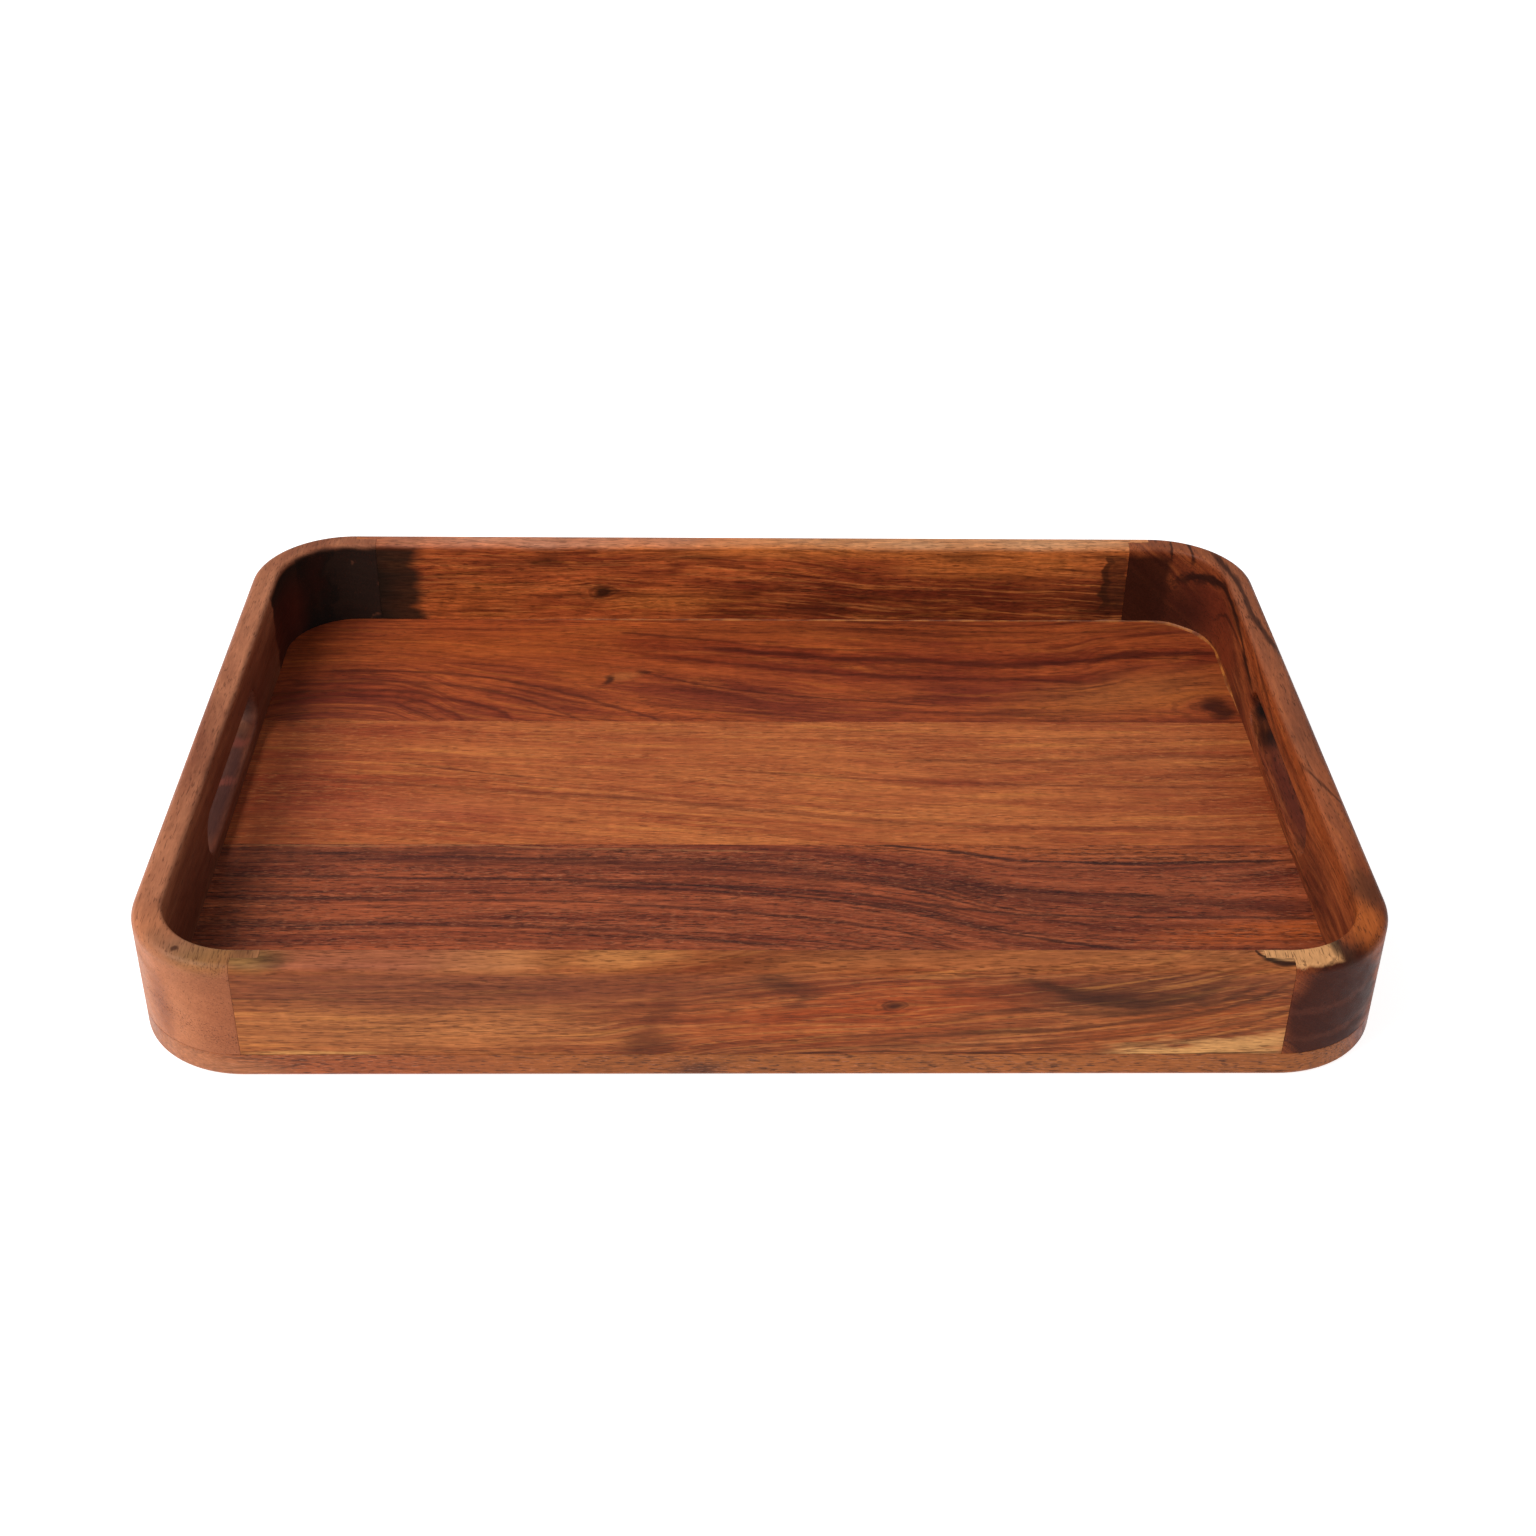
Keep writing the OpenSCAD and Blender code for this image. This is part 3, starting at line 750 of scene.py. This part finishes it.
def left_end_wood():
    bend = [(-150, 0), (-60, 2), (0, 0), (60, -3), (150, 1)]
    wood = Wood("left_end_oiled", "Y", "Z", 9.4, bends=(bend,), wave=0.9, tilt=0.25)
    wood.ground(paint(132, 77, 54), paint(174, 111, 79), 60, 6, 0.2)
    wood.bands(paint(104, 50, 36), 80, 3, 0.25, detail=5)
    wood.bands(paint(178, 112, 80), 60, 2.4, 0.3, 0.54, 0.7, detail=5)
    wood.grain(paint(100, 50, 34), paint(180, 114, 82), 0.2)
    wood.lines(paint(80, 40, 28), 90, 1.6, 0.3, 0.4)
    wood.patch(paint(178, 110, 72), (-140, 22), (22, 38), 0.75, depth=(-196, 28), soft=0.7)
    wood.patch(paint(120, 70, 46), (-146, 38), (14, 5), 0.45, depth=(-178, 14), soft=0.8)
    wood.patch(paint(134, 96, 54), (-143, 48), (8, 6), 0.8, depth=(-176, 16), soft=0.6)
    wood.patch(paint(74, 50, 34), (-142, 48), (6, 6), 0.6, depth=(-168, 3.5), soft=0.8)
    wood.patch(paint(116, 84, 64), (-138, 48), (8, 5), 0.55, depth=(-192, 11), soft=0.8)
    wood.patch(paint(56, 26, 20), (-139, 46), (1.2, 2), 0.8, depth=(-190.5, 1.2), soft=0.5)
    # The rear corner's stain, in three steps round the bend so that it stays on the inner face
    steps = ((118, 24, (-161, 27)), (118.5, 18.5, (-187.5, 7.5)), (113.5, 19.5, (-191, 10)))
    for middle, reach, depth in steps:
        wood.patch(paint(33, 27, 24), (middle, 20), (reach, 24.4), 0.96, depth=depth, soft=0.06, box=True)
    wood.patch(paint(58, 24, 19), (130, 32), (5, 12), 0.55, depth=(-187, 5), soft=0.8)
    # painted shade: the inner face, which faces away from the light, darkened along the wall and deeper
    # inside the front corner
    wood.patch(paint(88, 34, 24), (0, 22), (148, 21), 0.68, depth=(-197, 7), soft=0.3)
    wood.patch(paint(94, 37, 25), (-128, 19), (13, 22), 0.8, depth=(-179, 20), soft=0.25)
    wood.patch(paint(146, 82, 52), (-149, 20), (12, 24), 0.75, depth=(-172, 12), soft=0.7)
    # painted shade: the hand slot's walls darkened, leaving a faint dark ring round the slot on the faces,
    # with a darker spot further in
    wood.patch(paint(64, 36, 33), (-4, 23), (60, 11.5), 0.92, depth=(-205, 6), soft=0.2)
    wood.patch(paint(30, 22, 24), (40, 24), (12, 12), 0.6, depth=(-205, 6), soft=0.6)
    wood.patch(paint(122, 60, 48), (2, 17), (2.5, 10), 0.6, depth=(-205, 5), turn=40, soft=0.6)
    wood.patch(paint(122, 60, 48), (28, 18), (3, 10), 0.6, depth=(-205, 5), turn=40, soft=0.6)
    wood.pores(paint(70, 34, 24), 0.5, 0.7)
    wood.fibres(0.16)
    return wood.finish(specular=0.08)


def right_end_wood():
    bend = [(-150, -4), (-100, 2), (-50, -3), (0, -6), (50, 0), (90, 5), (120, 2), (150, -8)]
    wood = Wood("right_end_oiled", "Y", "Z", 11.6, bends=(bend,), wave=1.4, tilt=0.9)
    wood.ground(paint(102, 44, 26), paint(154, 78, 42), 50, 7, 0.18)
    wood.patch(paint(164, 78, 34), (0, 41), (130, 6), 0.5, depth=(198, 8), soft=0.7)
    wood.patch(paint(76, 32, 24), (80, 17), (24, 8), 0.6, depth=(198, 9), soft=0.8)
    wood.patch(paint(74, 32, 24), (-78, 18), (28, 9), 0.6, depth=(198, 9), soft=0.8)
    wood.bands(paint(70, 32, 24), 70, 3.6, 0.45, 0.5, 0.66, detail=5)
    wood.bands(paint(176, 94, 46), 50, 2.6, 0.4, 0.53, 0.7, detail=5)
    wood.grain(paint(70, 32, 22), paint(178, 100, 56), 0.25)
    dark = paint(38, 20, 17)
    wood.lines(dark, 80, 2.4, 0.35, 0.4)
    wood.patch(paint(102, 42, 26), (116, 24), (30, 16), 0.9, depth=(196, 20), soft=0.5)
    wood.patch(paint(130, 56, 30), (98, 18), (14, 8), 0.5, depth=(199, 8), soft=0.8)
    # painted shade: low down in the inside of the rear corner, next to the floor
    wood.patch(paint(52, 22, 17), (129, 17), (13, 17), 0.8, depth=(185, 13), soft=0.6)
    wood.patch(paint(158, 100, 72), (40, 51), (175, 7), 0.45, soft=0.3)
    wood.patch(paint(104, 58, 40), (-10, 51), (9, 7), 0.4, soft=0.8)
    wood.patch(paint(150, 92, 64), (112, 51), (30, 6), 0.4, depth=(202, 9), soft=0.8)
    wood.stroke(dark, [(52, 30), (65, 33), (80, 38), (95, 40.5), (112, 41), (124, 39), (132, 35), (137, 27)],
                4.4, 0.9)
    wood.stroke(dark, [(10, 36), (25, 39), (45, 42)], 1.6, 0.6)
    wood.stroke(dark, [(52, 30), (66, 33.5), (84, 34), (100, 33), (112, 29), (120, 22)], 1.8, 0.55)
    # painted shade: the hand slot's walls darkened, near black towards its rear end, with a dark spot near
    # its front end
    wood.patch(paint(96, 42, 30), (-2, 23), (56, 11), 0.8, depth=(205, 5), soft=0.2)
    wood.patch(paint(18, 14, 13), (37, 23.5), (15, 10), 0.95, depth=(205, 7), soft=0.3)
    wood.patch(paint(30, 20, 20), (-36, 22), (6, 8), 0.7, depth=(205, 6), turn=-30, soft=0.6)
    wood.patch(paint(56, 24, 17), (-149, 24), (19, 28), 0.93, depth=(193, 23), soft=0.2)
    wood.stroke(paint(96, 50, 36), [(-150, 26), (-140, 29), (-128, 33), (-116, 37)], 3, 0.45)
    wood.stroke(paint(104, 56, 40), [(-150, 15), (-138, 17), (-124, 21), (-112, 26)], 2.2, 0.4)
    wood.patch(paint(176, 92, 40), (-126, 50), (14, 9), 0.75, depth=(199, 8), soft=0.6)
    wood.patch(paint(88, 50, 32), (-106, 48), (9, 7), 0.7, depth=(204, 6), soft=0.5)
    wood.patch(paint(210, 152, 100), (-142, 50.5), (9, 5.5), 0.95, depth=(174, 13.5), soft=0.1, box=True)
    wood.patch(paint(40, 28, 24), (-135, 48), (6, 6), 0.8, depth=(187, 2.4), soft=0.5)
    wood.patch(paint(60, 40, 30), (-141, 48), (5, 6), 0.6, depth=(190, 2.6), soft=0.6)
    wood.patch(paint(34, 22, 18), (-147, 47), (2.5, 5), 0.9, depth=(167, 3.4), soft=0.4)
    wood.patch(paint(34, 22, 18), (-143, 47), (4, 5), 0.9, depth=(161, 1.6), soft=0.4)
    wood.stroke(dark, [(-148, 176), (-146, 181), (-142, 186)], 1.4, 0.8, through=True)
    wood.stroke(dark, [(128, 181), (152, 181.5)], 1.1, 0.8, through=True)
    wood.stroke(dark, [(126, 190), (150, 188.5)], 1.4, 0.8, through=True)
    wood.stroke(dark, [(52, 208), (66, 205), (82, 203), (100, 203), (116, 201), (135, 197)], 2.2, 0.8,
                through=True)
    wood.stroke(dark, [(-60, 211), (-50, 207), (-38, 203), (-26, 199)], 1.4, 0.6, through=True)
    wood.patch(paint(58, 26, 18), (136, 20), (8.5, 22), 0.92, depth=(160, 21), soft=0.1, box=True)
    wood.pores(paint(48, 24, 16), 0.55, 0.9)
    wood.fibres(0.18)
    return wood.finish(specular=0.06)


def dried_glue():
    """The amber glue that squeezed out along the foot of the wall."""
    material = bpy.data.materials.new("dried_glue")
    material.use_nodes = True
    g = Graph(material.node_tree)
    place = g.vector("SCALE", g.add("ShaderNodeTexCoord").outputs["Object"], scale=1 / MM)
    tone = g.ease(g.noise(place, (9, 9, 9), 3), 0.35, 0.65)
    shader = material.node_tree.nodes["Principled BSDF"]
    colour = g.mix(tone, paint(112, 52, 22), paint(176, 104, 44))
    material.node_tree.links.new(colour, shader.inputs["Base Color"])
    shader.inputs["Roughness"].default_value = 0.35
    return material


# ---- Pieces ----

pieces = {
    "base_plank_rear": plank("base_plank_rear"),
    "base_plank_middle": plank("base_plank_middle"),
    "base_plank_front": plank("base_plank_front"),
    "front_rail": rail("front_rail", -1),
    "rear_rail": rail("rear_rail", 1),
    "left_end": end_piece("left_end", -1),
    "right_end": end_piece("right_end", 1),
}
woods = {
    "base_plank_rear": rear_plank_wood,
    "base_plank_middle": middle_plank_wood,
    "base_plank_front": front_plank_wood,
    "front_rail": front_rail_wood,
    "rear_rail": rear_rail_wood,
    "left_end": left_end_wood,
    "right_end": right_end_wood,
}
for name, wood in woods.items():
    pieces[name].data.materials.append(wood())
glue_bead("glue_bead").data.materials.append(dried_glue())

# ---- Camera ----

CAMERA_PLACE = Vector((-14.8, -691.2, 483.9)) * MM
CAMERA_YAW, CAMERA_PITCH, CAMERA_ROLL = (math.radians(a) for a in (1.544, 33.65, 0.968))
camera_data = bpy.data.cameras.new("camera")
camera_data.sensor_width = 36
camera_data.lens = 50.82
camera = bpy.data.objects.new("camera", camera_data)
bpy.context.scene.collection.objects.link(camera)
aim = (Matrix.Rotation(-CAMERA_YAW, 4, "Z") @ Matrix.Rotation(math.pi / 2 - CAMERA_PITCH, 4, "X")
       @ Matrix.Rotation(CAMERA_ROLL, 4, "Z"))
camera.matrix_world = Matrix.Translation(CAMERA_PLACE) @ aim
bpy.context.scene.camera = camera

# ---- Floor and light ----

FLOOR_REACH = 200                               # metres, more than a view's camera can see


def area_light(name, place, size, power):
    """A soft light that faces the tray."""
    light = bpy.data.lights.new(name, "AREA")
    light.shape = "RECTANGLE"
    light.size, light.size_y = size
    light.energy = power
    lamp = bpy.data.objects.new(name, light)
    lamp.location = place
    lamp.rotation_euler = (-Vector(place)).to_track_quat("-Z", "Y").to_euler()
    bpy.context.scene.collection.objects.link(lamp)


bm = bmesh.new()
bmesh.ops.create_grid(bm, x_segments=1, y_segments=1, size=FLOOR_REACH)
floor_mesh = bpy.data.meshes.new("floor")
bm.to_mesh(floor_mesh)
bm.free()
floor = bpy.data.objects.new("floor", floor_mesh)
bpy.context.scene.collection.objects.link(floor)
paper = bpy.data.materials.new("white_paper")
paper.use_nodes = True
sheet = paper.node_tree.nodes["Principled BSDF"]
sheet.inputs["Base Color"].default_value = (0.6, 0.6, 0.6, 1)
sheet.inputs["Roughness"].default_value = 0.9
sheet.inputs["Emission Color"].default_value = (1, 1, 1, 1)
sheet.inputs["Emission Strength"].default_value = 0.82
floor_mesh.materials.append(paper)

world = bpy.data.worlds.new("studio")
bpy.context.scene.world = world
world.use_nodes = True
world.node_tree.nodes["Background"].inputs["Color"].default_value = (1, 1, 1, 1)
world.node_tree.nodes["Background"].inputs["Strength"].default_value = 0.33
area_light("key", (-1.2, -0.5, 1.5), (1.2, 1.2), 36)
area_light("front_fill", (0.3, -1.8, 0.9), (1.5, 1.0), 4)
bpy.context.scene.view_settings.view_transform = "Standard"
